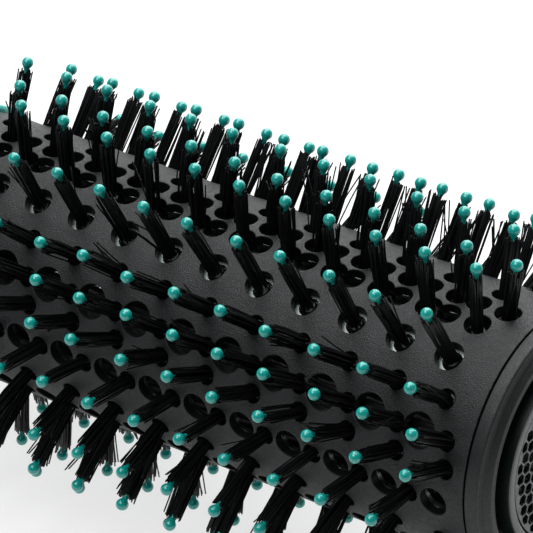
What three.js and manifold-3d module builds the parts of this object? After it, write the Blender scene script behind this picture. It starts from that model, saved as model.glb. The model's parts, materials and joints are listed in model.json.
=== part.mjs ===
// Hot air brush: a perforated round barrel with rows of nylon tufts, blown through by a fan in its handle.
//
// Everything is drawn around the brush's own axis: +X runs from the handle to the tip, and X = 0 is the
// barrel's handle-side end. A "polar" angle turns about that axis: 0 points along -Y, 90 degrees points up.
// At the end the whole brush is laid down on its lowest pins and on the heel of its handle.

import * as THREE from 'three';
import { mergeVertices } from 'three/addons/utils/BufferGeometryUtils.js';
import Module from 'manifold-3d';

const wasm = await Module();
wasm.setup();

// ---- Driving dimensions, in millimetres and degrees ----

const GAP = 0.3; // clearance between pieces that touch on the real object
const FACETS = 36; // facets round the barrel and the handle
const ROUND_FACETS = 24; // facets round the motor, the fan and the cord's gland
const SMALL_FACETS = 10; // facets round small posts

const BARREL_RADIUS = 22.7;
const BARREL_LENGTH = 121;
const BARREL_WALL = 1.6;

const MIRROR_POLAR = 59.75; // the barrel's two half shells meet at this polar angle and opposite it
const TUFT_PITCH = 9.54; // spacing of the tufts along a row
const TUFTS_PER_ROW = 12;
const PIN_RADIUS = 34.7; // distance of the pin tips from the axis
const FIN_THICKNESS = 2;
const TUFT_FOOT = 2.6;
const TUFT_TOP = 1.6;
const CARRIER_OUTER = BARREL_RADIUS - BARREL_WALL - GAP; // a metal tube lines the barrel
const CARRIER_INNER = CARRIER_OUTER - 0.8;
const RAIL_TOP = CARRIER_INNER - GAP; // the rail that carries a row of tufts lies under the tube's wall
const RAIL_BOTTOM = RAIL_TOP - 2.3;
const RAIL_MARGIN = 3;
const SLOT_WIDTH = FIN_THICKNESS + 2 * GAP + 0.3;

// Each half shell carries eleven rows: their angles from the half shell's edge, up to its middle,
// and the distance of each row's first tuft from the barrel's tip end, in tuft pitches.
const UPPER_ROWS = [
  { angle: 8.5, start: 1.0 },
  { angle: 27, start: 0.9 },
  { angle: 39, start: 0.6 },
  { angle: 51.5, start: 1.0 },
  { angle: 74, start: 0.9 },
  { angle: 90, start: 0.7 },
];
const LOWER_ROWS = [
  { angle: 8.5, start: 0.7 },
  { angle: 24.5, start: 0.55 },
  { angle: 36, start: 0.4 },
  { angle: 53, start: 1.1 },
  { angle: 73.5, start: 0.55 },
  { angle: 90, start: 0.9 },
];

const TIP_FRONT = BARREL_LENGTH + 5.2; // front plane of the rim round the mesh
const SHOULDER_X = BARREL_LENGTH + 1.8;
const LIP_BACK = BARREL_LENGTH + 2.8;
const LIP_FRONT = BARREL_LENGTH + 3.9;
const LIP_FOOT = 21;
const LIP_OUTER = 19.8;
const LIP_INNER = 19;
const CHANNEL_DEPTH = 1.5;
const RIM_OUTER = 16.2;
const RIM_INNER = 15.2;
const MESH_THICKNESS = 0.8;
const MESH_HOLE = 1.9;
const MESH_HOLE_PITCH = 5.2;
const MESH_HOLE_RINGS = 2;

const RING_FRONT = -GAP; // the coloured collar ring behind the barrel
const RING_BACK = -5;
const RING_RADIUS = 23.8;
const SPIGOT_RADIUS = 20.3;
const SOCKET_BACK = -22;
const SOCKET_BORE = 16.6;

const HANDLE_FRONT = SOCKET_BACK - GAP;
const HANDLE_BACK = -216;
const HANDLE_WALL = 2.4;
const HANDLE_OUTLINE = [
  [HANDLE_BACK, 22.6],
  [-206, 24],
  [-180, 23.4],
  [-130, 21.4],
  [-80, 20],
  [-44, 19.2],
  [HANDLE_FRONT, 20.6],
];
const HEEL_X = -206; // the widest place of the handle, which rests on the table
const HEEL_RADIUS = 24;

const HEATER_FRONT = -10;
const HEATER_BACK = -62;
const HEATER_RADIUS = 13.6;
const COIL_RADIUS = 14.3;
const COIL_WIRE = 0.9;
const COIL_TURNS = 5;
const COIL_STEPS_PER_TURN = 12;

const MOTOR_FRONT = -128;
const MOTOR_BACK = -162;
const MOTOR_RADIUS = 13;
const STATOR_FRONT = -134;
const STATOR_BACK = -152;
const STATOR_RADIUS = 18.4;
const STATOR_VANES = 6;
const VANE_THICKNESS = 1.2;
const SHAFT_RADIUS = 1.2;
const FAN_FRONT = -167;
const FAN_BACK = -181;
const FAN_RADIUS = 18.4;
const FAN_HUB = 7;
const FAN_BLADES = 9;
const BLADE_TWIST = 32;

const GRILLE_BACK = -226;
const GRILLE_WALL = 2;
const GRILLE_HOLE = 8.6;
const GRILLE_SLOTS = 12;
const SLOT_HALF_WIDTH = 0.9;
const SWIVEL_BACK = -240;
const SWIVEL_NECK = GRILLE_HOLE - 0.4; // turns in the grille's hole
const SWIVEL_COLLAR = 10.6;
const CABLE_BORE = 3.4;

const DECK_HEIGHT = 18.7; // flat on the handle's top that the controls sit on
const DECK_BACK = -126;
const DECK_FRONT = -74;
const DECK_HALF_WIDTH = 5.6;
const DECK_THICKNESS = 2;
const SLIDER_TRAVEL = 8;
const SLIDER_REST_X = -96; // centre of the slider's stem when the brush is off
const STEM_LENGTH = 4;
const STEM_HALF_WIDTH = 2.2;
const PLAY = 0.4; // room round the slider's stem
const RIDGE_COUNT = 4;
const RIDGE_PITCH = 3;
const RIDGE_WIDTH = 1.2;
const BUTTON_X = -118;
const BUTTON_RADIUS = 4.2;
const BUTTON_TOP = DECK_HEIGHT + 2.4;
const BOARD_TOP = 8.6;
const BOARD_THICKNESS = 1.6;
const BOARD_HALF_WIDTH = 10;
const SWITCH_HEIGHT = 5.2;
const TACT_HEIGHT = 3;

const SCREW_PLACES = [-72, -197];
const SCREW_THREAD = 1.25;
const SCREW_HEAD = 2.4;
const SCREW_FACETS = 8;
const BOSS_RADIUS = 3.4;
const BOSS_BORE = 1.6;
const BOSS_FOOT = -8; // the top shell's boss meets the bottom shell's tower at this height
const TOWER_RADIUS = 4.6;
const HEAD_SEAT = -13;
const HEAD_BORE = 2.9;

// ---- Materials ----

function material(color, roughness, metalness) {
  return new THREE.MeshStandardMaterial({ color, roughness, metalness });
}

const BLACK_SHELL = material(0x1b1c1e, 0.55, 0);
const BLACK_GLOSS = material(0x151617, 0.3, 0);
const BLACK_NYLON = material(0x0b0b0c, 0.4, 0);
const TEAL = material(0x12a394, 0.3, 0);
const DARK_STEEL = material(0x33363a, 0.35, 0.9);
const STEEL = material(0xa9adb2, 0.3, 1);
const ALUMINIUM = material(0xbfc2c4, 0.4, 1);
const MICA = material(0xb9a477, 0.6, 0);
const NICHROME = material(0x8d8780, 0.4, 1);
const WHITE_NYLON = material(0xd9d8d2, 0.5, 0);
const BOARD_GREEN = material(0x1f5a3a, 0.5, 0);

// ---- Solid helpers ----

// A closed solid from any three.js geometry whose faces point out.
function solid(geometry) {
  const bare = geometry.clone();
  bare.deleteAttribute('normal');
  bare.deleteAttribute('uv');
  const merged = mergeVertices(bare, 1e-4);
  const index = merged.index.array;
  const kept = [];
  for (let i = 0; i < index.length; i += 3) {
    const [a, b, c] = [index[i], index[i + 1], index[i + 2]];
    if (a !== b && b !== c && c !== a) {
      kept.push(a, b, c);
    }
  }
  const vertProperties = new Float32Array(merged.attributes.position.array);
  return new wasm.Manifold(new wasm.Mesh({ numProp: 3, vertProperties, triVerts: new Uint32Array(kept) }));
}

function cut(body, ...tools) {
  return tools.reduce((left, tool) => left.subtract(tool), body);
}

function join(...bodies) {
  return bodies.reduce((whole, next) => whole.add(next));
}

const brush = new THREE.Group();

function addPiece(name, body, look) {
  const mesh = body.getMesh();
  const geometry = new THREE.BufferGeometry();
  geometry.setAttribute('position', new THREE.BufferAttribute(new Float32Array(mesh.vertProperties), 3));
  geometry.setIndex(new THREE.BufferAttribute(new Uint32Array(mesh.triVerts), 1));
  geometry.computeVertexNormals();
  const piece = new THREE.Mesh(geometry, look);
  piece.name = name;
  brush.add(piece);
}

// A body turned about the brush's axis from a closed outline of [x, radius] points, listed so that the
// outline runs towards +X on its outer side.
function turned(outline, facets = FACETS) {
  const points = outline.map(([x, radius]) => new THREE.Vector2(radius, x));
  const geometry = new THREE.LatheGeometry(points, facets);
  geometry.rotateZ(-Math.PI / 2);
  return solid(geometry);
}

function sleeve(back, front, inner, outer, facets = FACETS) {
  return turned([[back, inner], [back, outer], [front, outer], [front, inner], [back, inner]], facets);
}

function disc(back, front, radius, facets = FACETS) {
  return turned([[back, 0], [back, radius], [front, radius], [front, 0]], facets);
}

// A box between two corners.
function block(low, high) {
  const size = high.map((value, axis) => value - low[axis]);
  const geometry = new THREE.BoxGeometry(...size);
  geometry.translate(...low.map((value, axis) => value + size[axis] / 2));
  return solid(geometry);
}

// An upright round post.
function post(x, y, bottom, top, radius, facets = SMALL_FACETS) {
  const geometry = new THREE.CylinderGeometry(radius, radius, top - bottom, facets);
  geometry.rotateX(Math.PI / 2);
  geometry.translate(x, y, (top + bottom) / 2);
  return solid(geometry);
}

// Turns a body that is drawn on the +Y side to a polar angle.
function atPolar(body, polar) {
  return body.rotate([180 - polar, 0, 0]);
}

// ---- Barrel and bristle rows ----

// Every row's polar angle and the place of its first tuft.
function rowPlan(rows, direction) {
  const mirrored = rows.slice(0, -1).reverse();
  const plan = rows.map((row) => ({ ...row }));
  for (const row of mirrored) {
    plan.push({ angle: 180 - row.angle, start: row.start });
  }
  return plan.map((row) => ({
    polar: MIRROR_POLAR + direction * row.angle,
    firstX: BARREL_LENGTH - row.start * TUFT_PITCH,
  }));
}

const ROWS = [...rowPlan(UPPER_ROWS, 1), ...rowPlan(LOWER_ROWS, -1)];

function bristleRow(firstX) {
  const lastX = firstX - (TUFTS_PER_ROW - 1) * TUFT_PITCH;
  const railFront = Math.min(firstX + RAIL_MARGIN, BARREL_LENGTH - GAP);
  const railBack = lastX - RAIL_MARGIN;
  const outline = new THREE.Shape();
  outline.moveTo(railFront, RAIL_TOP);
  for (let tuft = 0; tuft < TUFTS_PER_ROW; tuft += 1) {
    const x = firstX - tuft * TUFT_PITCH;
    outline.lineTo(x + TUFT_FOOT / 2, RAIL_TOP);
    outline.lineTo(x + TUFT_TOP / 2, PIN_RADIUS);
    outline.lineTo(x - TUFT_TOP / 2, PIN_RADIUS);
    outline.lineTo(x - TUFT_FOOT / 2, RAIL_TOP);
  }
  outline.lineTo(railBack, RAIL_TOP);
  outline.lineTo(railBack, RAIL_BOTTOM);
  outline.lineTo(railFront, RAIL_BOTTOM);
  outline.closePath();
  const fin = new THREE.ExtrudeGeometry(outline, { depth: FIN_THICKNESS, bevelEnabled: false });
  fin.translate(0, 0, -FIN_THICKNESS / 2);
  return solid(fin);
}

function rowSlot(firstX) {
  const lastX = firstX - (TUFTS_PER_ROW - 1) * TUFT_PITCH;
  const reach = TUFT_FOOT / 2 + GAP;
  return block(
    [lastX - reach, RAIL_TOP, -SLOT_WIDTH / 2],
    [firstX + reach, BARREL_RADIUS + 1, SLOT_WIDTH / 2],
  );
}

// A tube with a slot for each of the given rows of tufts.
function slotted(tube, rows) {
  return cut(tube, ...rows.map((row) => atPolar(rowSlot(row.firstX), row.polar)));
}

function barrelShell(rows, side) {
  const tube = sleeve(0, BARREL_LENGTH, BARREL_RADIUS - BARREL_WALL, BARREL_RADIUS);
  const reach = 2 * BARREL_RADIUS;
  // The half that is kept lies beyond the joint plane through the mirror line.
  const low = side > 0 ? GAP / 2 : -reach;
  const high = side > 0 ? reach : -GAP / 2;
  const half = block([-1, -reach, low], [BARREL_LENGTH + 1, reach, high]);
  return slotted(tube, rows).intersect(half.rotate([180 - MIRROR_POLAR, 0, 0]));
}

// Seen along the mirror line, the rows of growing polar angle lie on the -Z side of the unturned half.
const UPPER = ROWS.slice(0, 2 * UPPER_ROWS.length - 1);
const LOWER = ROWS.slice(UPPER.length);
addPiece('barrel_shell_upper', barrelShell(UPPER, -1), BLACK_SHELL);
addPiece('barrel_shell_lower', barrelShell(LOWER, 1), BLACK_SHELL);

UPPER.forEach((row, index) => {
  const name = `bristle_row_upper_${String(index + 1).padStart(2, '0')}`;
  addPiece(name, atPolar(bristleRow(row.firstX), row.polar), BLACK_NYLON);
});
LOWER.forEach((row, index) => {
  const name = `bristle_row_lower_${String(index + 1).padStart(2, '0')}`;
  addPiece(name, atPolar(bristleRow(row.firstX), row.polar), BLACK_NYLON);
});

const carrier = sleeve(1, BARREL_LENGTH - 1, CARRIER_INNER, CARRIER_OUTER);
addPiece('bristle_carrier_tube', slotted(carrier, ROWS), ALUMINIUM);

// ---- Tip: cap, rim and mesh ----

// A band with a rounded shoulder, a bevelled lip, and a sunk channel round the mesh's rim.
function tipCap() {
  const back = BARREL_LENGTH + GAP;
  const bore = RIM_OUTER + GAP;
  return turned([
    [back, bore],
    [back, BARREL_RADIUS],
    [SHOULDER_X, BARREL_RADIUS],
    [LIP_BACK, LIP_FOOT],
    [LIP_FRONT, LIP_OUTER],
    [LIP_FRONT, LIP_INNER],
    [LIP_FRONT - CHANNEL_DEPTH, LIP_INNER],
    [LIP_FRONT - CHANNEL_DEPTH, bore],
    [back, bore],
  ]);
}

function tipMesh() {
  const front = TIP_FRONT - GAP;
  let sheet = disc(front - MESH_THICKNESS, front, RIM_INNER - GAP);
  const rowHeight = (MESH_HOLE_PITCH * Math.sqrt(3)) / 2;
  for (let row = -MESH_HOLE_RINGS; row <= MESH_HOLE_RINGS; row += 1) {
    const holes = 2 * MESH_HOLE_RINGS + 1 - Math.abs(row);
    for (let hole = 0; hole < holes; hole += 1) {
      const y = (hole - (holes - 1) / 2) * MESH_HOLE_PITCH;
      const drill = disc(front - 2, front + 1, MESH_HOLE, 6).translate([0, y, row * rowHeight]);
      sheet = cut(sheet, drill);
    }
  }
  return sheet;
}

addPiece('tip_cap', tipCap(), BLACK_SHELL);
addPiece('tip_mesh_rim', sleeve(TIP_FRONT - 3.5, TIP_FRONT, RIM_INNER, RIM_OUTER), BLACK_GLOSS);
addPiece('tip_mesh', tipMesh(), DARK_STEEL);

// ---- Collar ring and barrel socket ----

addPiece('collar_ring', sleeve(RING_BACK, RING_FRONT, SPIGOT_RADIUS + GAP, RING_RADIUS), TEAL);

function barrelSocket() {
  const shoulder = RING_BACK - GAP;
  return turned([
    [SOCKET_BACK, SOCKET_BORE],
    [SOCKET_BACK, 21],
    [shoulder, 23],
    [shoulder, SPIGOT_RADIUS],
    [RING_FRONT, SPIGOT_RADIUS],
    [RING_FRONT, SOCKET_BORE],
    [SOCKET_BACK, SOCKET_BORE],
  ]);
}

addPiece('barrel_socket', barrelSocket(), BLACK_SHELL);

// ---- Heater ----

function heaterFrame() {
  const half = 0.5;
  const flat = block([HEATER_BACK, -HEATER_RADIUS, -half], [HEATER_FRONT, HEATER_RADIUS, half]);
  return join(flat, flat.rotate([90, 0, 0]));
}

class Helix extends THREE.Curve {
  getPoint(t, target = new THREE.Vector3()) {
    const turn = 2 * Math.PI * COIL_TURNS * t;
    const x = THREE.MathUtils.lerp(HEATER_BACK + 5, HEATER_FRONT - 5, t);
    return target.set(x, (COIL_RADIUS + GAP) * Math.cos(turn), (COIL_RADIUS + GAP) * Math.sin(turn));
  }
}

function heaterCoil() {
  const half = COIL_WIRE / 2;
  const section = new THREE.Shape();
  section.moveTo(-half, -half);
  section.lineTo(half, -half);
  section.lineTo(half, half);
  section.lineTo(-half, half);
  section.closePath();
  const steps = COIL_TURNS * COIL_STEPS_PER_TURN;
  return solid(new THREE.ExtrudeGeometry(section, { steps, extrudePath: new Helix() }));
}

addPiece('heater_mica_frame', heaterFrame(), MICA);
addPiece('heater_coil', heaterCoil(), NICHROME);

const micaBore = COIL_RADIUS + 1.2;
addPiece('heater_mica_sleeve', sleeve(HEATER_BACK, HEATER_FRONT, micaBore, micaBore + 0.5), MICA);

const CUTOUT_HALF_WIDTH = 3.5;
const cutoutBack = HEATER_BACK - 5.8;
addPiece(
  'thermal_cutout',
  block([cutoutBack, -CUTOUT_HALF_WIDTH, -5], [HEATER_BACK - GAP, CUTOUT_HALF_WIDTH, -1]),
  STEEL,
);

// ---- Handle shells ----

function handleTube() {
  const outer = HANDLE_OUTLINE;
  const inner = HANDLE_OUTLINE.map(([x, radius]) => [x, radius - HANDLE_WALL]).reverse();
  return turned([...outer, ...inner, outer[0]]);
}

// The handle's outer radius at a place along it.
function handleRadius(x) {
  const next = HANDLE_OUTLINE.findIndex(([place]) => place >= x);
  const [x0, r0] = HANDLE_OUTLINE[next - 1];
  const [x1, r1] = HANDLE_OUTLINE[next];
  return r0 + ((r1 - r0) * (x - x0)) / (x1 - x0);
}

function halfSpace(low, high) {
  return block([HANDLE_BACK - 1, -40, low], [HANDLE_FRONT + 1, 40, high]);
}

function handleTop() {
  const far = 2 * HEEL_RADIUS;
  const deckRoom = block([DECK_BACK, -DECK_HALF_WIDTH, DECK_HEIGHT], [DECK_FRONT, DECK_HALF_WIDTH, far]);
  const deckPad = block(
    [DECK_BACK, -DECK_HALF_WIDTH - 1, DECK_HEIGHT - DECK_THICKNESS],
    [DECK_FRONT, DECK_HALF_WIDTH + 1, DECK_HEIGHT - GAP],
  );
  const halfStem = STEM_LENGTH / 2 + PLAY;
  const window = block(
    [SLIDER_REST_X - halfStem, -STEM_HALF_WIDTH - PLAY, 0],
    [SLIDER_REST_X + SLIDER_TRAVEL + halfStem, STEM_HALF_WIDTH + PLAY, far],
  );
  const buttonHole = post(BUTTON_X, 0, 0, far, BUTTON_RADIUS + GAP);
  let shell = handleTube().intersect(halfSpace(GAP / 2, far));
  shell = cut(join(shell, deckPad), deckRoom, window, buttonHole);
  for (const x of SCREW_PLACES) {
    const wallMiddle = handleRadius(x) - HANDLE_WALL / 2;
    const bore = post(x, 0, BOSS_FOOT - 1, BOSS_FOOT + 12, BOSS_BORE, SCREW_FACETS);
    shell = join(shell, cut(post(x, 0, BOSS_FOOT, wallMiddle, BOSS_RADIUS), bore));
  }
  return shell;
}

function handleBottom() {
  const far = -2 * HEEL_RADIUS;
  let shell = handleTube().intersect(halfSpace(far, -GAP / 2));
  for (const x of SCREW_PLACES) {
    const wallMiddle = handleRadius(x) - HANDLE_WALL / 2;
    const tower = post(x, 0, -wallMiddle, BOSS_FOOT - GAP, TOWER_RADIUS);
    const shankHole = post(x, 0, far, BOSS_FOOT, BOSS_BORE, SCREW_FACETS);
    const headHole = post(x, 0, far, HEAD_SEAT, HEAD_BORE);
    shell = cut(join(shell, tower), shankHole, headHole);
  }
  return shell;
}

function handleScrew(x) {
  const head = post(x, 0, HEAD_SEAT - 3, HEAD_SEAT - GAP, SCREW_HEAD);
  return join(head, post(x, 0, HEAD_SEAT - 1, BOSS_FOOT + 10, SCREW_THREAD, SCREW_FACETS));
}

addPiece('handle_shell_top', handleTop(), BLACK_SHELL);
addPiece('handle_shell_bottom', handleBottom(), BLACK_SHELL);
addPiece('handle_screw_front', handleScrew(SCREW_PLACES[0]), STEEL);
addPiece('handle_screw_rear', handleScrew(SCREW_PLACES[1]), STEEL);

// ---- Controls ----

// A plate that covers its window at both ends of its travel, with grip ridges on top and a stem below.
function slider() {
  const x = SLIDER_REST_X;
  const bottom = DECK_HEIGHT + GAP;
  const plateTop = bottom + 1.4;
  let knob = block([x - SLIDER_TRAVEL, -4.6, bottom], [x + SLIDER_TRAVEL + 4, 4.6, plateTop]);
  for (let ridge = 0; ridge < RIDGE_COUNT; ridge += 1) {
    const left = x - RIDGE_PITCH + ridge * RIDGE_PITCH;
    knob = join(knob, block([left, -4, plateTop - 0.4], [left + RIDGE_WIDTH, 4, plateTop + 1.2]));
  }
  const halfStem = STEM_LENGTH / 2;
  const stemFoot = BOARD_TOP + SWITCH_HEIGHT + PLAY;
  const stem = block([x - halfStem, -STEM_HALF_WIDTH, stemFoot], [x + halfStem, STEM_HALF_WIDTH, bottom + 0.5]);
  return join(knob, stem);
}

// A part of the given half width that stands on the circuit board.
function onBoard(back, front, halfWidth, height) {
  return block([back, -halfWidth, BOARD_TOP + GAP], [front, halfWidth, BOARD_TOP + height]);
}

function controlBoard() {
  const bottom = BOARD_TOP - BOARD_THICKNESS;
  return block([BUTTON_X - 6, -BOARD_HALF_WIDTH, bottom], [DECK_FRONT - 4, BOARD_HALF_WIDTH, BOARD_TOP]);
}

const buttonFoot = BOARD_TOP + TACT_HEIGHT + 1.4; // leaves room for the press
addPiece('mode_slider', slider(), TEAL);
addPiece('cool_button', post(BUTTON_X, 0, buttonFoot, BUTTON_TOP, BUTTON_RADIUS), BLACK_GLOSS);
addPiece('mode_switch_body', onBoard(SLIDER_REST_X - 7, SLIDER_REST_X + 15, 4.5, SWITCH_HEIGHT), BLACK_GLOSS);
addPiece('cool_tact_switch', onBoard(BUTTON_X - 3, BUTTON_X + 3, 3, TACT_HEIGHT), DARK_STEEL);
addPiece('control_board', controlBoard(), BOARD_GREEN);

// ---- Motor and fan ----

function motor() {
  const shaftHole = disc(MOTOR_BACK - 1, MOTOR_BACK + 8, SHAFT_RADIUS + GAP, 8);
  return cut(disc(MOTOR_BACK, MOTOR_FRONT, MOTOR_RADIUS, ROUND_FACETS), shaftHole);
}

// The motor sits in the hub of a ring of guide vanes, which holds it in the middle of the air path.
function stator() {
  const hub = sleeve(STATOR_BACK, STATOR_FRONT, MOTOR_RADIUS + GAP, MOTOR_RADIUS + 1.5, ROUND_FACETS);
  const rim = sleeve(STATOR_BACK, STATOR_FRONT, STATOR_RADIUS - 1, STATOR_RADIUS, ROUND_FACETS);
  const half = VANE_THICKNESS / 2;
  const vane = block([STATOR_BACK + 1, MOTOR_RADIUS + 1, -half], [STATOR_FRONT - 1, STATOR_RADIUS - 0.6, half]);
  let whole = join(hub, rim);
  for (let index = 0; index < STATOR_VANES; index += 1) {
    whole = join(whole, vane.rotate([(360 / STATOR_VANES) * index, 0, 0]));
  }
  return whole;
}

function fan() {
  const middle = (FAN_FRONT + FAN_BACK) / 2;
  const halfLength = (FAN_FRONT - FAN_BACK) / 2;
  const half = VANE_THICKNESS / 2;
  const blank = block([-halfLength + 1, FAN_HUB - 1, -half], [halfLength - 1, FAN_RADIUS, half]);
  const reach = FAN_RADIUS + 2;
  const bounds = disc(FAN_BACK, FAN_FRONT, FAN_RADIUS, ROUND_FACETS);
  let whole = disc(FAN_BACK, FAN_FRONT, FAN_HUB, 18);
  for (let index = 0; index < FAN_BLADES; index += 1) {
    const pitched = blank.rotate([0, BLADE_TWIST, 0]).translate([middle, 0, 0]);
    const blade = pitched.rotate([(360 / FAN_BLADES) * index, 0, 0]);
    whole = join(whole, blade.intersect(bounds));
  }
  return cut(whole, disc(FAN_FRONT - 10, FAN_FRONT + reach, SHAFT_RADIUS + GAP, 8));
}

addPiece('fan_motor', motor(), STEEL);
addPiece('motor_mount_vanes', stator(), WHITE_NYLON);
addPiece('fan_impeller', fan(), WHITE_NYLON);
addPiece('motor_shaft', disc(FAN_FRONT - 9, MOTOR_BACK + 7, SHAFT_RADIUS, 8), STEEL);

// ---- Air inlet and cord swivel ----

function inletGrille() {
  const back = GRILLE_BACK;
  const front = HANDLE_BACK - GAP;
  let shell = turned([
    [back, GRILLE_HOLE],
    [back, 13],
    [back + 3, 19],
    [front, 22.2],
    [front, 22.2 - GRILLE_WALL - GAP],
    [back + 4.6, 17],
    [back + GRILLE_WALL, 12.4],
    [back + GRILLE_WALL, GRILLE_HOLE],
    [back, GRILLE_HOLE],
  ]);
  const slot = block([back - 1, 12, -SLOT_HALF_WIDTH], [front - 2.5, 25, SLOT_HALF_WIDTH]);
  for (let index = 0; index < GRILLE_SLOTS; index += 1) {
    shell = cut(shell, slot.rotate([(360 / GRILLE_SLOTS) * index, 0, 0]));
  }
  return shell;
}

// The hollow gland turns in the grille's middle so that a cord would not twist.
function cordSwivel() {
  const back = SWIVEL_BACK;
  const collarBack = GRILLE_BACK + GRILLE_WALL + 1;
  const collarFront = collarBack + 2;
  return turned([
    [back, CABLE_BORE],
    [back, 5],
    [GRILLE_BACK - 2, 7.4],
    [GRILLE_BACK - 0.6, SWIVEL_NECK],
    [collarBack, SWIVEL_NECK],
    [collarBack, SWIVEL_COLLAR],
    [collarFront, SWIVEL_COLLAR],
    [collarFront, CABLE_BORE],
    [back, CABLE_BORE],
  ], ROUND_FACETS);
}

addPiece('inlet_grille', inletGrille(), BLACK_SHELL);
addPiece('cord_swivel', cordSwivel(), BLACK_GLOSS);
addPiece('inlet_filter', sleeve(HANDLE_BACK + 1, HANDLE_BACK + 1.8, 4, 20, ROUND_FACETS), DARK_STEEL);

// ---- Lay the brush down ----

// The rearmost pins of the two lowest rows carry the head, and the heel carries the handle.
const lowestRows = ROWS.map((row) => PIN_RADIUS * Math.sin(THREE.MathUtils.degToRad(row.polar)));
const headDrop = -Math.min(...lowestRows);
const rearStart = Math.max(...LOWER_ROWS.map((row) => row.start));
const rearPinX = BARREL_LENGTH - (rearStart + TUFTS_PER_ROW - 1) * TUFT_PITCH;
const tilt = Math.asin((headDrop - HEEL_RADIUS) / (rearPinX - HEEL_X));
brush.rotation.y = -tilt;
brush.updateMatrixWorld(true);
const bounds = new THREE.Box3().setFromObject(brush, true);
const centre = bounds.getCenter(new THREE.Vector3());
brush.position.set(-centre.x, -centre.y, -bounds.min.z);

export default brush;
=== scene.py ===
"""Hot air brush: the looks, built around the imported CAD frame.

Pieces are drawn in the brush's own axes, in millimetres. +X runs from the handle to the tip, X = 0 is the
barrel's handle-side end, and +Z is up when the brush is held level. A "polar" angle turns about the X axis:
0 points along -Y, 90 degrees points up. TO_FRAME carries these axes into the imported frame, in metres.
"""

import json
import math
import random

import bmesh
import bpy
from mathutils import Matrix, Vector
from mathutils.geometry import delaunay_2d_cdt
from mathutils.kdtree import KDTree


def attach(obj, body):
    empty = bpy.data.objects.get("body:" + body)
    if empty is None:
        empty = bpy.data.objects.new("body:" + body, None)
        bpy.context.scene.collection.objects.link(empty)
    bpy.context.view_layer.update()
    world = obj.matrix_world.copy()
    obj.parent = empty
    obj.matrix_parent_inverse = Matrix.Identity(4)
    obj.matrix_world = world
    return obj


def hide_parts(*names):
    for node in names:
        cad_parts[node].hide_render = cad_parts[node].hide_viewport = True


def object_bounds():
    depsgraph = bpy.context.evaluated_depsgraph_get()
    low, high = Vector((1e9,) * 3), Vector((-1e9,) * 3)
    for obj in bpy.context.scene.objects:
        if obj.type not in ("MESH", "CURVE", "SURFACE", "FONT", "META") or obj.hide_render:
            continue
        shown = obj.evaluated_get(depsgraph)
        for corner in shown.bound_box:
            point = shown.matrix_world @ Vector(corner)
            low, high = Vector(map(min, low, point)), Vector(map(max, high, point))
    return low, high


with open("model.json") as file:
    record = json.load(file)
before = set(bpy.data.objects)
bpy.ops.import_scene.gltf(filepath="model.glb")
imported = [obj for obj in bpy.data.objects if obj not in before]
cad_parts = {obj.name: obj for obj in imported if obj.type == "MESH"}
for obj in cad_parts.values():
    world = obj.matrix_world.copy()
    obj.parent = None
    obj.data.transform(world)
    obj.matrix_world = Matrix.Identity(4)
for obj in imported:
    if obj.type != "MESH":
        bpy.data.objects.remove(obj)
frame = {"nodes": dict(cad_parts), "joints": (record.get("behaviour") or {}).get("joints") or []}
cad_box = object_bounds()

# ---- The brush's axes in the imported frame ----

MM = 0.001
FAN_MIDDLE_X = -174  # where the fan's joint sits on the brush's axis

fan_joint = next(joint for joint in frame["joints"] if joint["name"] == "fan_spin")
axis = Vector(fan_joint["axis"]).normalized()
TILT = math.asin(axis.z)
ORIGIN = Vector(fan_joint["pos_m"]) - axis * (FAN_MIDDLE_X * MM)
TO_FRAME = Matrix.Translation(ORIGIN) @ Matrix.Rotation(-TILT, 4, "Y") @ Matrix.Scale(MM, 4)
TO_BRUSH = TO_FRAME.inverted()


def brush_points(node):
    """A CAD node's vertices in the brush's own axes."""
    return [TO_BRUSH @ vertex.co for vertex in frame["nodes"][node].data.vertices]


def span_x(node):
    places = [point.x for point in brush_points(node)]
    return min(places), max(places)


def outer_radius(node):
    return max(math.hypot(point.y, point.z) for point in brush_points(node))


def at(x, polar, radius):
    """The point at a place along the brush, a polar angle in radians and a distance from the axis."""
    return Vector((x, -radius * math.cos(polar), radius * math.sin(polar)))


def twist(x):
    """The rows of tufts wind round the barrel a little: how far they have turned at a place along it."""
    return math.radians(TWIST_PER_MM) * (TWIST_MIDDLE - x)


TWIST_PER_MM = 0.05
TWIST_MIDDLE = 60
BARREL_RADIUS = outer_radius("barrel_shell_upper")
BARREL_LENGTH = span_x("barrel_shell_upper")[1]
MIRROR_POLAR = 59.75
BARREL_WALL = 1.6
GAP = 0.3

# ---- Mesh building ----


class Shape:
    """Vertices and faces in the brush's axes, with a normal for each face corner where they are given."""

    def __init__(self):
        self.points = []
        self.faces = []
        self.corners = []
        # the second material, where a piece has one, paints shade on these faces
        self.inner = set()  # numbers of the faces that take the piece's second material

    def add(self, points, faces, corners=None):
        first = len(self.points)
        self.points += points
        self.faces += [tuple(first + index for index in face) for face in faces]
        if corners:
            self.corners += corners
        return self


def turned_faces(rings, segments, closed):
    """Quads between rings of vertices; closed joins the last ring to the first."""
    faces = []
    for ring in range(rings if closed else rings - 1):
        low = ring * segments
        high = ((ring + 1) % rings) * segments
        for step in range(segments):
            after = (step + 1) % segments
            faces.append((low + step, low + after, high + after, high + step))
    return faces


LONGEST_ARM = 0.49  # the share of a side that one rounded corner may take up


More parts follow.
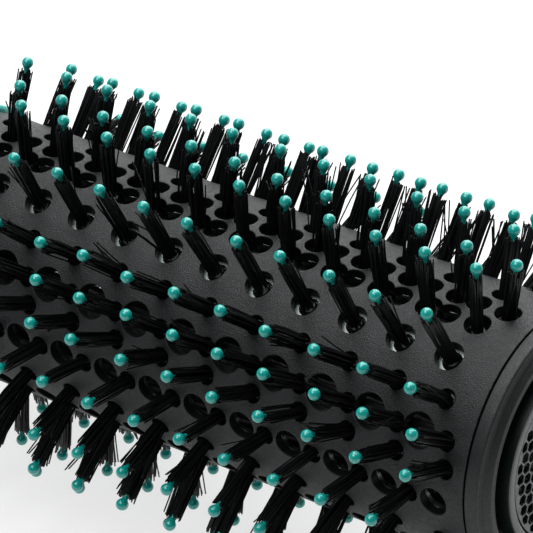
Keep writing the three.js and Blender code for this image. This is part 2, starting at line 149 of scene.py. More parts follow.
def fillet(outline, steps=5):
    """An outline of (along, across, rounding) corners as points, with an arc for each rounded corner."""
    rounded = []
    count = len(outline)
    for index, (along, across, radius) in enumerate(outline):
        corner = Vector((along, across))
        if radius == 0:
            rounded.append(corner)
            continue
        before = Vector(outline[index - 1][:2]) - corner
        after = Vector(outline[(index + 1) % count][:2]) - corner
        half = before.angle(after) / 2
        reach = min(radius / math.tan(half), before.length * LONGEST_ARM, after.length * LONGEST_ARM)
        start = corner + before.normalized() * reach
        end = corner + after.normalized() * reach
        centre = corner + (before.normalized() + after.normalized()).normalized() * (reach / math.cos(half))
        sweep = (start - centre).angle_signed(end - centre)
        for step in range(steps + 1):
            arm = start - centre
            arm.rotate(Matrix.Rotation(-sweep * step / steps, 2))
            rounded.append(centre + arm)
    return rounded


def turned(outline, segments=160, painted_shade_radii=()):
    """A closed outline of (x, radius, rounding) corners turned about the brush's axis.

    Faces that lie within a band of radii take the piece's second material, which paints shade on them.
    """
    profile = fillet(outline)
    points = []
    for along, across in profile:
        for step in range(segments):
            points.append(at(along, 2 * math.pi * step / segments, across))
    shape = Shape().add(points, turned_faces(len(profile), segments, True))
    for ring, (_, across) in enumerate(profile):
        after = profile[(ring + 1) % len(profile)].y
        if any(low <= min(across, after) and max(across, after) <= high for low, high in painted_shade_radii):
            shape.inner.update(range(ring * segments, (ring + 1) * segments))
    return shape


def spun(profile, segments, place):
    """An open profile of (height, radius) points, with a pole at each end, set down by the matrix place."""
    points = [place @ Vector((0, 0, profile[0][0]))]
    for height, radius in profile[1:-1]:
        points += [place @ Vector((p.x, p.y, height)) for p in circle(0, 0, radius, segments)]
    points.append(place @ Vector((0, 0, profile[-1][0])))
    last = len(points) - 1
    faces = []
    for step in range(segments):
        after = (step + 1) % segments
        faces.append((0, 1 + after, 1 + step))
        faces.append((last, last - segments + step, last - segments + after))
    rings = turned_faces(len(profile) - 2, segments, False)
    faces += [tuple(1 + index for index in face) for face in rings]
    return points, faces


def linked_object(name, data):
    linked = bpy.data.objects.new(name, data)
    bpy.context.scene.collection.objects.link(linked)
    return linked


def make_piece(name, shape, material, body="brush_body", stands_for=(), slot=None, sharp=35, inner=None):
    """A Blender object from a shape, riding on a CAD body."""
    mesh = bpy.data.meshes.new(name)
    mesh.from_pydata([TO_FRAME @ point for point in shape.points], [], shape.faces)
    mesh.polygons.foreach_set("use_smooth", [True] * len(mesh.polygons))
    if shape.corners:
        turn = TO_FRAME.to_3x3().normalized()
        mesh.normals_split_custom_set([turn @ normal for normal in shape.corners])
    else:
        work = bmesh.new()
        work.from_mesh(mesh)
        bmesh.ops.recalc_face_normals(work, faces=work.faces)
        for edge in work.edges:
            edge.smooth = edge.calc_face_angle(math.pi) < math.radians(sharp)
        work.to_mesh(mesh)
        work.free()
    mesh.update()
    piece = linked_object(name, mesh)
    mesh.materials.append(material)
    # the second material paints shade on the faces in shape.inner
    if inner:
        mesh.materials.append(inner)
        for number in shape.inner:
            mesh.polygons[number].material_index = 1
    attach(piece, body)
    if stands_for:
        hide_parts(*stands_for)
    return piece


# ---- Perforated sheets ----


def arc(centre, radius, start, end, steps):
    """Points along an arc from one angle to another, its end left out."""
    points = []
    for step in range(steps):
        turn = start + (end - start) * step / steps
        points.append(centre + radius * Vector((math.cos(turn), math.sin(turn))))
    return points


def circle(u, v, radius, count):
    turns = [2 * math.pi * step / count for step in range(count)]
    return [Vector((u + radius * math.cos(turn), v + radius * math.sin(turn))) for turn in turns]


def round_opening(u, v, radius, edge, count=40):
    """A round hole in a flat pattern: where its rounded edge starts, and where its wall stands."""
    return circle(u, v, radius + edge, count), circle(u, v, radius, count)


def keyhole(first, first_radius, second, second_radius, edge, count=26):
    """Two round holes that run into each other, as one opening."""
    between = second - first
    heading = math.atan2(between.y, between.x)

    def outline(grow):
        r1, r2, d = first_radius + grow, second_radius + grow, between.length
        a1 = math.acos((d * d + r1 * r1 - r2 * r2) / (2 * d * r1))
        a2 = math.acos((d * d + r2 * r2 - r1 * r1) / (2 * d * r2))
        far_first = arc(first, r1, heading + a1, heading + 2 * math.pi - a1, count)
        far_second = arc(second, r2, heading + math.pi + a2, heading + 3 * math.pi - a2, count)
        return far_first + far_second

    return outline(edge), outline(0)


def rectangle_loop(low_u, high_u, half_v, spacing):
    corners = [(low_u, -half_v), (high_u, -half_v), (high_u, half_v), (low_u, half_v)]
    loop = []
    for index, corner in enumerate(corners):
        start, end = Vector(corner), Vector(corners[(index + 1) % 4])
        steps = max(1, round((end - start).length / spacing))
        loop += [start.lerp(end, step / steps) for step in range(steps)]
    return loop


RIM_CLEARANCE = 0.6  # how far a loose point of a flat pattern stays from its loops, in spacings
END_CLEARANCE = 0.4  # and from the pattern's far ends


def pattern_points(low, high, spacing, loops):
    """Evenly spread points in a flat pattern, clear of its loops."""
    tree = KDTree(sum(len(rim) for rim, _ in loops))
    for rim, _ in loops:
        for point in rim:
            tree.insert((point.x, point.y, 0), 0)
    tree.balance()
    row_height = spacing * math.sqrt(3) / 2
    points = []
    rows = int((high.y - low.y) / row_height)
    columns = int((high.x - low.x) / spacing)
    for row in range(1, rows + 1):
        for column in range(columns + 1):
            u = low.x + (column + 0.5 * (row % 2) + 0.25) * spacing
            v = low.y + row * row_height
            clear = tree.find((u, v, 0))[2] > RIM_CLEARANCE * spacing
            margin = END_CLEARANCE * spacing
            if clear and u < high.x - margin and v < high.y - margin:
                points.append(Vector((u, v)))
    return points


def sides(triangle):
    return zip(triangle, triangle[1:] + triangle[:1])


def without_holes(triangles, holes):
    """The triangles outside every hole, each hole being its edges with the hole's inside on their left."""
    owner = {side: number for number, triangle in enumerate(triangles) for side in sides(triangle)}
    rims = {side for hole in holes for side in hole}
    rims |= {(b, a) for a, b in rims}
    pending = [owner[side] for hole in holes for side in hole if side in owner]
    inside = set()
    while pending:
        number = pending.pop()
        if number in inside:
            continue
        inside.add(number)
        for a, b in sides(triangles[number]):
            if (a, b) not in rims and (b, a) in owner:
                pending.append(owner[(b, a)])
    return [triangle for number, triangle in enumerate(triangles) if number not in inside]


MERGE_DISTANCE = 1e-6
ONLY_WITHIN_OUTLINE = 1  # delaunay_2d_cdt's output type


def perforated(loops, spacing, thickness, edge, place, edge_steps=3, creases=()):
    """A closed sheet with rounded edges: loops[0] is its outline, the others are holes; creases are bends.

    place(u, v, depth) gives the point that lies a depth below the flat pattern's point (u, v).
    """
    points, rims, walls = [], [], {}
    for rim, wall in loops:
        first = len(points)
        walls.update({first + index: point for index, point in enumerate(wall)})
        rims.append([(first + index, first + (index + 1) % len(rim)) for index in range(len(rim))])
        points += rim
    outline = loops[0][0]
    low = Vector((min(p.x for p in outline), min(p.y for p in outline)))
    high = Vector((max(p.x for p in outline), max(p.y for p in outline)))
    links = [link for rim in rims for link in rim]
    for crease in creases:
        first = len(points)
        links += [(first + index, first + (index + 1) % len(crease)) for index in range(len(crease))]
        points += crease
    points += pattern_points(low, high, spacing, loops + [(crease, crease) for crease in creases])
    found = delaunay_2d_cdt(points, links, [], ONLY_WITHIN_OUTLINE, MERGE_DISTANCE)
    flat, _, triangles, sources, _, _ = found
    given = {source: index for index, merged in enumerate(sources) for source in merged}
    holes = [[(given[a], given[b]) for a, b in rim] for rim in rims[1:]]
    triangles = without_holes([tuple(triangle) for triangle in triangles], holes)
    kept = sorted({index for triangle in triangles for index in triangle})
    order = {index: place_in_order for place_in_order, index in enumerate(kept)}
    flat_points = [flat[index] for index in kept]
    wall_points = [walls.get(sources[index][0]) for index in kept]
    triangles = [tuple(order[index] for index in triangle) for triangle in triangles]

    def normal_at(point):
        nudge = 0.01
        here = place(point.x, point.y, 0)
        along = place(point.x + nudge, point.y, 0) - here
        across = place(point.x, point.y + nudge, 0) - here
        normal = along.cross(across).normalized()
        return normal if normal.dot(here - place(point.x, point.y, nudge)) > 0 else -normal

    top = [place(point.x, point.y, 0) for point in flat_points]
    normals = [normal_at(point) for point in flat_points]
    bottom_points = [point if wall is None else wall for point, wall in zip(flat_points, wall_points)]
    bottom = [place(point.x, point.y, thickness) for point in bottom_points]
    sample = triangles[0]
    face_normal = (top[sample[1]] - top[sample[0]]).cross(top[sample[2]] - top[sample[0]])
    if face_normal.dot(normals[sample[0]]) < 0:
        triangles = [triangle[::-1] for triangle in triangles]

    count = len(flat_points)
    shape = Shape()
    shape.points = top + bottom
    for a, b, c in triangles:
        shape.faces.append((a, b, c))
        shape.corners += [normals[a], normals[b], normals[c]]
        # the underside is marked for the piece's second material, the painted shade where one is given
        shape.inner.add(len(shape.faces))
        shape.faces.append((count + a, count + c, count + b))
        shape.corners += [-normals[a], -normals[c], -normals[b]]

    # The rounded edge and the wall, ring by ring, along every edge that has a triangle on one side only.
    directed = {side for triangle in triangles for side in sides(triangle)}
    border = [(a, b) for a, b in directed if (b, a) not in directed]
    border.sort()
    ring_of = {}
    for a, _ in border:
        rim, wall = flat_points[a], wall_points[a]
        outwards = (place(wall.x, wall.y, 0) - place(rim.x, rim.y, 0)).normalized()
        ring = [(a, normals[a])]
        for step in range(1, edge_steps + 1):
            turn = math.pi / 2 * step / edge_steps
            spot = rim.lerp(wall, math.sin(turn))
            ring.append((len(shape.points), normals[a] * math.cos(turn) + outwards * math.sin(turn)))
            shape.points.append(place(spot.x, spot.y, edge * (1 - math.cos(turn))))
        ring.append((count + a, outwards))
        ring_of[a] = ring
    for a, b in border:
        for (a0, na0), (a1, na1), (b0, nb0), (b1, nb1) in zip(
            ring_of[a], ring_of[a][1:], ring_of[b], ring_of[b][1:]
        ):
            # the wall is marked for the painted shade too
            if a1 == ring_of[a][-1][0]:
                shape.inner.add(len(shape.faces))
            shape.faces.append((b0, a0, a1, b1))
            shape.corners += [nb0, na0, na1, nb1]
    return shape


# ---- Materials ----


def new_material(name):
    material = bpy.data.materials.new(name)
    material.use_nodes = True
    nodes = material.node_tree.nodes
    return material, nodes, material.node_tree.links, nodes["Principled BSDF"]


def set_inputs(node, values):
    for name, value in values.items():
        node.inputs[name].default_value = value


def noise_ramp(nodes, links, scale, low, high, detail=4.0, stretch=None):
    """A value that wanders between low and high, at so many grains to the metre."""
    coordinates = nodes.new("ShaderNodeTexCoord")
    noise = nodes.new("ShaderNodeTexNoise")
    set_inputs(noise, {"Scale": scale, "Detail": detail})
    source = coordinates.outputs["Object"]
    if stretch:
        mapping = nodes.new("ShaderNodeMapping")
        mapping.inputs["Scale"].default_value = stretch
        links.new(source, mapping.inputs["Vector"])
        source = mapping.outputs["Vector"]
    links.new(source, noise.inputs["Vector"])
    spread = nodes.new("ShaderNodeMapRange")
    set_inputs(spread, {"From Min": 0.3, "From Max": 0.7, "To Min": low, "To Max": high})
    links.new(noise.outputs["Fac"], spread.inputs["Value"])
    return spread.outputs["Result"]


def moulded(name, color, roughness, grain=0.0, grain_scale=4500, coat=0.0, specular=0.5, wander=0.15):
    """A moulded surface: its colour wanders a little, and grain is the depth of its fine bumps."""
    material, nodes, links, surface = new_material(name)
    set_inputs(surface, {"Specular IOR Level": specular, "Coat Weight": coat, "Coat Roughness": 0.12})
    shade = noise_ramp(nodes, links, 220, 1 - wander, 1 + wander)
    tint = nodes.new("ShaderNodeVectorMath")
    tint.operation = "SCALE"
    tint.inputs[0].default_value = color
    links.new(shade, tint.inputs["Scale"])
    links.new(tint.outputs["Vector"], surface.inputs["Base Color"])
    patches = noise_ramp(nodes, links, 900, roughness * 0.88, roughness * 1.12)
    links.new(patches, surface.inputs["Roughness"])
    if grain:
        glint = noise_ramp(nodes, links, grain_scale * 1.3, specular * 0.6, specular * 1.4, detail=1.0)
        links.new(glint, surface.inputs["Specular IOR Level"])
        bump = nodes.new("ShaderNodeBump")
        set_inputs(bump, {"Strength": 1.0, "Distance": grain * MM})
        links.new(noise_ramp(nodes, links, grain_scale, 0, 1, detail=2.0), bump.inputs["Height"])
        links.new(bump.outputs["Normal"], surface.inputs["Normal"])
    return material


def brushed(name, color, roughness, stretch):
    """A metal with fine lines drawn across the stretched axis."""
    material, nodes, links, surface = new_material(name)
    set_inputs(surface, {"Metallic": 1, "Base Color": (*color, 1)})
    lines = noise_ramp(nodes, links, 1500, roughness * 0.7, roughness * 1.4, stretch=stretch)
    links.new(lines, surface.inputs["Roughness"])
    return material


SHELL = moulded("shell_grained", (0.011, 0.0128, 0.0135), 0.52, grain=0.065, specular=0.38)
CAP = moulded("shell_satin", (0.011, 0.0128, 0.0135), 0.48, grain=0.03, grain_scale=5200, specular=0.38)
# painted shade: the barrel's underside and the walls of its holes are darker than the shell, for the shade
# inside the openings
SHELL_INSIDE_PAINTED_SHADE = moulded("shell_inside_painted_shade", (0.004, 0.005, 0.005), 0.45, grain=0.01, specular=0.2)
# painted shade: the tip cap's channel, the wall that steps down to its lip and the rim's face in the channel
# are near black for the shade in the groove
CHANNEL_PAINTED_SHADE = moulded("channel_painted_shade", (0.004, 0.0085, 0.0075), 0.4, specular=0.2)
GLOSS = moulded("gloss_black", (0.010, 0.011, 0.012), 0.24, coat=0.4)
RIM = moulded("rim_satin", (0.085, 0.09, 0.09), 0.42, grain=0.006)
NYLON = moulded("nylon_black", (0.004, 0.0045, 0.005), 0.36, wander=0.3, specular=0.3)
TEAL = moulded("teal_gloss", (0.003, 0.31, 0.27), 0.2, coat=0.5, wander=0.06)
# drawn aluminium, its colour darkened well below the metal's own as painted shade for the tube inside the
# barrel
ALUMINIUM_WITH_PAINTED_SHADE = brushed("aluminium_drawn_painted_shade", (0.19, 0.22, 0.21), 0.34, (0.05, 1, 1))
MESH_STEEL = brushed("steel_darkened", (0.10, 0.107, 0.107), 0.42, (1, 1, 1))
STEEL = brushed("steel_plain", (0.55, 0.56, 0.58), 0.3, (0.1, 1, 1))
# mica's amber tone, darkened as painted shade so the heater reads dark through the barrel's openings
MICA_WITH_PAINTED_SHADE = moulded("mica_board_with_painted_shade", (0.15, 0.125, 0.085), 0.45, grain=0.01, grain_scale=1200, wander=0.3)
WIRE = brushed("resistance_wire", (0.46, 0.43, 0.41), 0.35, (1, 1, 1))
WHITE_NYLON = moulded("nylon_white", (0.75, 0.75, 0.71), 0.42, grain=0.008)
BOARD = moulded("board_green", (0.03, 0.15, 0.07), 0.3, coat=0.4, wander=0.25)

# ---- Barrel ----

BARREL_EDGE = 0.18
BARREL_SPACING = 1.7
SIDE_INSET = 0.004
HALF_GAP = 0.004  # the two half shells meet in a line too fine to see
TUFTS_PER_ROW = 12
TIP_ZONE = 34  # vertices further out than this belong to the pins' tips

# The barrel's two half shells are different mouldings. Tuft holes are wide in the upper one and tight in
# the lower one. A row is counted from the nearer edge of its half shell, and some rows have vents: their
# radius, and how far they lie in front of each tuft in tuft pitches.
TUFT_HOLE = {"upper": 2.25, "lower": 1.65}
EDGE_TUFT_HOLE = {"upper": 2.5, "lower": 1.65}  # of the rows next to the half shell's edges
VENTS = {("upper", count): (2.15, 0.4) for count in (2, 3, 5)}
VENTS.update({("lower", 2): (3.0, 0.45), ("lower", 4): (2.5, 0.5), ("lower", 6): (2.5, 0.5)})
CARRIER_HOLE = 1.75  # under the rows next to the half shells' edges
CARRIER_VENT_INSET = {"upper": 0.1, "lower": -0.2}
CARRIER_WALL = 0.8
VENT_MARGIN = 1.6  # a vent is left out nearer the barrel's end than this
RAIL_HEIGHT = 2.3
RAIL_HALF_WIDTH = 1.0
RAIL_STEPS = 12

# How far each row's tips stand from straight out: towards the brush's tip, and away from the nearer edge
# of the half shell. The rows are counted from that edge.
LEAN = {
    "upper": [(-1.1, 1.2), (0.7, 0.8), (2.9, -1.4), (-0.3, 1.0), (0.9, -0.6), (-0.7, -2.0)],
    "lower": [(-0.5, 0.7), (0, -2.2), (-0.4, -1.7), (0.2, -1.7), (-0.5, -0.2), (0, 0)],
}

# The rows seen edge-on reach a little further out.
EXTRA_REACH = {("lower", 6): 2.0, ("lower", 7): 1.6, ("lower", 8): 1.0, ("upper", 6): 1.0, ("upper", 7): 1.0}


class Row:
    """One row of tufts: its polar angle and the place of each tuft, read from its CAD node."""

    def __init__(self, half, number):
        self.half = half
        self.number = number
        self.node = f"bristle_row_{half}_{number:02d}"
        points = brush_points(self.node)
        tips = [point for point in points if math.hypot(point.y, point.z) > TIP_ZONE]
        middle = sum(tips, Vector()) / len(tips)
        self.polar = math.atan2(middle.z, -middle.y)
        self.pin_radius = max(math.hypot(point.y, point.z) for point in tips)
        self.pin_radius += EXTRA_REACH.get((half, number), 0)
        edges = sorted({round(point.x, 3) for point in tips}, reverse=True)
        first, last = (edges[0] + edges[1]) / 2, (edges[-1] + edges[-2]) / 2
        self.pitch = (first - last) / (TUFTS_PER_ROW - 1)
        self.tufts = [first - index * self.pitch for index in range(TUFTS_PER_ROW)]
        self.count_from_edge = min(number, 12 - number)
        self.vent_radius, lead = VENTS.get((half, self.count_from_edge), (None, 0))
        self.tuft_hole = (EDGE_TUFT_HOLE if self.count_from_edge == 1 else TUFT_HOLE)[half]
        along, away = LEAN[half][self.count_from_edge - 1]
        outwards = (half == "upper") == (number <= 6)
        self.lean = Vector((along, away if outwards else -away, 0))
        self.vents = []
        if self.vent_radius:
            ahead = lead * self.pitch
            room = BARREL_LENGTH - self.vent_radius - VENT_MARGIN
            self.vents = [x + ahead if x + ahead < room else None for x in self.tufts]
            if half == "upper":
                self.vents[0] = None
        self.rail = span_x(self.node)
        rail_points = [point for point in points if point.x > self.rail[1] - 0.01]
        self.rail_bottom = min(math.hypot(point.y, point.z) for point in rail_points)
        self.rail_top = self.rail_bottom + RAIL_HEIGHT


ROWS = [Row(half, number) for half in ("upper", "lower") for number in range(1, 12)]


def row_openings(row, v, tuft_hole, vent_radius, edge):
    """The openings for one row's tufts and vents, in a flat pattern where the row lies at v."""
    loops = []
    for index, x in enumerate(row.tufts):
        vent_x = row.vents[index] if row.vents else None
        if vent_x is None:
            loops.append(round_opening(x, v, tuft_hole, edge))
        elif vent_x - x < tuft_hole + vent_radius:
            loops.append(keyhole(Vector((x, v)), tuft_hole, Vector((vent_x, v)), vent_radius, edge))
        else:
            loops.append(round_opening(x, v, tuft_hole, edge))
            loops.append(round_opening(vent_x, v, vent_radius, edge))
    return loops


def wrapped_v(polar, middle, radius):
    """Where a polar angle lies in a pattern that is wrapped about a middle angle."""
    return ((polar - middle + math.pi) % (2 * math.pi) - math.pi) * radius


def inset_rectangle(low_u, high_u, half_v, edge, side_edge=SIDE_INSET):
    """A rectangle about v = 0: the line where its rounded edges start, and its wall."""
    wall = rectangle_loop(low_u, high_u, half_v, BARREL_SPACING)
    side = half_v - side_edge
    rim = [Vector((min(max(p.x, low_u + edge), high_u - edge), min(max(p.y, -side), side))) for p in wall]
    return rim, wall


def barrel_half(half):
    middle = math.radians(MIRROR_POLAR + (90 if half == "upper" else -90))
    half_arc = math.pi / 2 * BARREL_RADIUS - HALF_GAP

    def place(u, v, depth):
        return at(u, middle + twist(u) + v / BARREL_RADIUS, BARREL_RADIUS - depth)

    loops = [inset_rectangle(0, BARREL_LENGTH, half_arc, BARREL_EDGE)]
    for row in ROWS:
        if row.half == half:
            v = wrapped_v(row.polar, middle, BARREL_RADIUS)
            loops += row_openings(row, v, row.tuft_hole, row.vent_radius, BARREL_EDGE)
    return perforated(loops, BARREL_SPACING, BARREL_WALL, BARREL_EDGE, place)


def carrier_tube():
    """The metal tube that lines the barrel: one sheet rolled round, with the rows' holes through it."""
    back, front = span_x("bristle_carrier_tube")
    radius = outer_radius("bristle_carrier_tube")
    middle = math.radians(MIRROR_POLAR)

    def place(u, v, depth):
        return at(u, middle + twist(u) + v / radius, radius - depth)

    edge = 0.05
    loops = [inset_rectangle(back, front, (math.pi - 0.002) * radius, edge)]
    for row in ROWS:
        v = wrapped_v(row.polar, middle, radius)
        vent = row.vent_radius - CARRIER_VENT_INSET[row.half] if row.vent_radius else None
        hole = CARRIER_HOLE if row.count_from_edge == 1 else row.tuft_hole
        loops += row_openings(row, v, hole, vent, edge)
    return perforated(loops, BARREL_SPACING, CARRIER_WALL, edge, place, edge_steps=1)


for half in ("upper", "lower"):
    node = f"barrel_shell_{half}"
    sheet = barrel_half(half)
    # the half shell's underside and hole walls take the painted shade
    make_piece(f"barrel_half_{half}", sheet, SHELL, stands_for=[node], slot="shell", inner=SHELL_INSIDE_PAINTED_SHADE)

# ---- Tufts ----

FILAMENTS = 34
FILAMENT_RADIUS = 0.135
FILAMENT_SIDES = 5
FILAMENT_RINGS = 4
NARROWED_TIP = 0.4
FOOT_RADIUS = 1.35
FOOT_DEPTH = {"upper": 1.5, "lower": 0.9}  # how far a foot's top lies under the barrel's surface
TUFT_RADIUS = 1.2  # of the bundle where it leaves its foot
TUFT_SPREAD = 1.1  # how much wider the bundle is at its tips
BALL_RADIUS = 1.04
PIN_SHAFT = 0.33
NECK_RADIUS = 0.34
NECK_LENGTH = 1.9
TUFT_TIP_BELOW_BALL = 1.15
LEAN_SPREAD = 0.25
LEAN_OF_FILAMENTS = 0.85  # the share of its pin's lean that a bundle takes
HEIGHT_SPREAD = 0.65
BALL_SPREAD = 0.12  # of the balls' heights
TIP_WOBBLE = 0.16
BOW_SPREAD = 0.08
STRAY_GROUPS = (0, 1, 1, 1, 2, 2)  # how many small bunches splay out of a tuft, drawn evenly from these
STRAY_REACH = (1.3, 3.2)  # how far a splayed bunch stands from the tuft's middle at its tips
SPLAY_BOW = 0.08
SPLAY_KEEPS = 0.35  # the share of its own place in the bundle that a splayed filament keeps


def tuft_axes(x, polar):
    """A matrix whose Z axis points out from the brush's axis at a tuft and whose X axis points to the tip."""
    out = at(0, polar, 1)
    along = Vector((1, 0, 0))
    across = out.cross(along)
    turn = Matrix((along, across, out)).transposed().to_4x4()
    return Matrix.Translation(Vector((x, 0, 0))) @ turn


def filament(shape, axes, base, tip, bend, radius):
    """A thin rod from base to tip in a tuft's axes, bowed sideways by bend at its middle."""
    points = []
    places = [(ring / (FILAMENT_RINGS - 1), radius) for ring in range(FILAMENT_RINGS)]
    places.append((1 + radius / (tip - base).length, radius * NARROWED_TIP))
    for t, reach in places:
        centre = base.lerp(tip, t) + bend * (4 * t * (1 - t))
        points += [axes @ (centre + spoke.to_3d()) for spoke in circle(0, 0, reach, FILAMENT_SIDES)]
    faces = turned_faces(len(places), FILAMENT_SIDES, False)
    faces.append(tuple(reversed(range(FILAMENT_SIDES))))
    top = (len(places) - 1) * FILAMENT_SIDES
    faces.append(tuple(range(top, top + FILAMENT_SIDES)))
    shape.add(points, faces)


def ball_profile(length):
    """From the pole inside the pin, up a neck that flares into the ball, and round the ball."""
    join = math.radians(42)  # where the neck leaves the ball, measured from its underside
    start = (-BALL_RADIUS * math.cos(join), BALL_RADIUS * math.sin(join))
    profile = [(-length, 0), (-length, NECK_RADIUS)]
    for share in (0.4, 0.75):
        height = -length + (start[0] + length) * share
        profile.append((height, NECK_RADIUS + (start[1] - NECK_RADIUS) * share ** 2))
    steps = 10
    for step in range(steps):
        turn = math.pi - join - (math.pi - join) * step / steps
        profile.append((BALL_RADIUS * math.cos(turn), BALL_RADIUS * math.sin(turn)))
    profile.append((BALL_RADIUS, 0))
    return profile


def foot_profile(bottom, top, radius, rounding=0.4):
    profile = [(bottom, 0), (bottom, radius), (top - rounding, radius)]
    for step in range(1, 5):
        turn = math.pi / 2 * step / 5
        reach = radius - rounding + rounding * math.cos(turn)
        profile.append((top - rounding + rounding * math.sin(turn), reach))
    profile.append((top, 0))
    return profile


def rail(row):
    """The strip under the barrel's wall that carries a row's tufts."""
    top = row.rail_top
    corners = [(-1, row.rail_bottom), (1, row.rail_bottom), (1, top), (-1, top)]
    section = fillet([(side * RAIL_HALF_WIDTH, height, 0.25) for side, height in corners], steps=3)
    points = []
    back, front = row.rail
    for step in range(RAIL_STEPS + 1):
        x = back + (front - back) * step / RAIL_STEPS
        axes = tuft_axes(x, row.polar + twist(x))
        points += [axes @ Vector((0, across, height)) for across, height in section]
    count = len(section)
    end = RAIL_STEPS * count
    faces = [tuple(range(count)), tuple(reversed(range(end, end + count)))]
    faces += turned_faces(RAIL_STEPS + 1, count, False)
    return points, faces


def inside_cad_box(centre):
    """Whether a pin's ball stays within the CAD model's height and width."""
    low, high = cad_box
    spot = TO_FRAME @ centre
    reach = BALL_RADIUS * MM
    return all(low[k] + reach <= spot[k] <= high[k] - reach for k in (1, 2))


def tuft_row(row, rng):
    tufts, balls = Shape(), Shape()
    tufts.add(*rail(row))
    foot_top = BARREL_RADIUS - FOOT_DEPTH[row.half]
    foot_bottom = row.rail_top - 0.5
    for x in row.tufts:
        axes = tuft_axes(x, row.polar + twist(x))
        tufts.add(*spun(foot_profile(foot_bottom, foot_top, FOOT_RADIUS), 20, axes))
        lean = row.lean + Vector((rng.gauss(0, LEAN_SPREAD), rng.gauss(0, LEAN_SPREAD), 0))
        ball_centre = row.pin_radius - BALL_RADIUS - abs(rng.gauss(0, BALL_SPREAD))
        pin_tip = Vector((lean.x, lean.y, ball_centre))
        while not inside_cad_box(axes @ pin_tip):
            pin_tip.z -= 0.02
        filament(tufts, axes, Vector((0, 0, foot_top - 0.5)), pin_tip, Vector(), PIN_SHAFT)
        lean_turn = Vector((0, 0, 1)).rotation_difference(pin_tip - Vector((0, 0, foot_top)))
        ball_place = axes @ Matrix.Translation(pin_tip) @ lean_turn.to_matrix().to_4x4()
        balls.add(*spun(ball_profile(NECK_LENGTH), 20, ball_place))
        splays = []
        for _ in range(rng.choice(STRAY_GROUPS)):
            turn = rng.uniform(0, 2 * math.pi)
            reach = rng.uniform(*STRAY_REACH)
            splays += [Vector((reach * math.cos(turn), reach * math.sin(turn), 0))] * rng.randint(1, 3)
        for number in range(FILAMENTS):
            turn = rng.uniform(0, 2 * math.pi)
            reach = TUFT_RADIUS * math.sqrt(rng.uniform(0.12, 1))
            base = Vector((reach * math.cos(turn), reach * math.sin(turn), foot_top - 0.4))
            height = ball_centre - TUFT_TIP_BELOW_BALL - abs(rng.gauss(0, HEIGHT_SPREAD))
            wobble = Vector((rng.gauss(0, TIP_WOBBLE), rng.gauss(0, TIP_WOBBLE), 0))
            bend = Vector((rng.gauss(0, BOW_SPREAD), rng.gauss(0, BOW_SPREAD), 0))
            tip = Vector((base.x, base.y, 0)) * TUFT_SPREAD
            if number < len(splays):
                bend -= splays[number] * SPLAY_BOW
                tip = splays[number] + tip * SPLAY_KEEPS
            tip += lean * LEAN_OF_FILAMENTS + wobble
            tip.z = height
            filament(tufts, axes, base, tip, bend, FILAMENT_RADIUS)
    return tufts, balls


for row in ROWS:
    rng = random.Random(row.node)
    tufts, balls = tuft_row(row, rng)
    label = f"{row.half}_{row.number:02d}"
    make_piece(f"tufts_{label}", tufts, NYLON, stands_for=[row.node], slot="bristle_nylon", sharp=50)
    make_piece(f"pin_balls_{label}", balls, TEAL, slot="teal")

# ---- Carrier tube, tip and collar ----

tube = carrier_tube()
# the carrier tube's darkened metal is a painted shade
make_piece("carrier_tube_drawn", tube, ALUMINIUM_WITH_PAINTED_SHADE, stands_for=["bristle_carrier_tube"], slot="aluminium")

CAP_BACK = BARREL_LENGTH + GAP
RIM_INNER = outer_radius("tip_mesh") + GAP
RIM_OUTER = RIM_INNER + 1.7
CAP_BORE = RIM_OUTER + GAP
SHOULDER_X = BARREL_LENGTH + 2.7
LIP_BACK = BARREL_LENGTH + 2.9
LIP_FRONT = BARREL_LENGTH + 3.9
LIP_RADIUS = 21.1
CHANNEL_X = LIP_FRONT - 2.4
CHANNEL_RADIUS = 19
TURNED_SEGMENTS = 240
tip_cap_outline = [
    (CAP_BACK, CAP_BORE, 0.1),
    (CAP_BACK, BARREL_RADIUS, 0.25),
    (SHOULDER_X, BARREL_RADIUS, 0.5),
    (LIP_BACK, LIP_RADIUS, 0.2),
    (LIP_FRONT, LIP_RADIUS - 0.8, 0.35),
    (LIP_FRONT, CHANNEL_RADIUS, 0.3),
    (CHANNEL_X, CHANNEL_RADIUS, 0.2),
    (CHANNEL_X, CAP_BORE, 0.1),
]
# painted shade on the channel and bore, and on the steep wall between the shoulder and the lip
painted_shade_bands = [(0, CHANNEL_RADIUS + 0.05), (LIP_RADIUS, BARREL_RADIUS - 0.4)]
tip_cap = turned(tip_cap_outline, TURNED_SEGMENTS, painted_shade_bands)
make_piece("tip_cap_moulding", tip_cap, CAP, stands_for=["tip_cap"], slot="shell", inner=CHANNEL_PAINTED_SHADE)

rim_back, rim_front = span_x("tip_mesh_rim")
rim_front -= 0.03  # the rim is wider than the CAD's, so its front stands back to keep the brush's length
rim_outline = [(rim_back, RIM_INNER, 0.1), (rim_back, RIM_OUTER, 0.1)]
rim_outline += [(rim_front, RIM_OUTER, 0.42), (rim_front, RIM_INNER, 0.42)]
# the rim's outer face, down in the channel, takes the painted shade
rim = turned(rim_outline, TURNED_SEGMENTS, [(RIM_OUTER - 0.15, RIM_OUTER)])
make_piece("mesh_rim_moulding", rim, RIM, stands_for=["tip_mesh_rim"], slot="gloss_trim", inner=CHANNEL_PAINTED_SHADE)

MESH_PITCH = 2.13
MESH_HOLE_WIDTH = 1.78  # across the flats of each six-sided hole
MESH_THICKNESS = 0.5
MESH_EDGE = 0.1
MESH_BORDER = 14.6  # holes are cut off here, just inside the rim


def mesh_hole(u, v, width, border):
    """A six-sided hole with softened corners, cut off where the mesh's border starts."""
    centre = Vector((u, v))
    loop = fillet([(p.x, p.y, 0.16) for p in circle(u, v, width / math.sqrt(3), 6)], steps=2)
    for point in loop:
        if point.length > border:
            spoke = point - centre
            b = centre.dot(spoke)
            a = spoke.length_squared
            c = centre.length_squared - border * border
            point.xy = centre + spoke * ((-b + math.sqrt(b * b - a * c)) / a)
    return loop


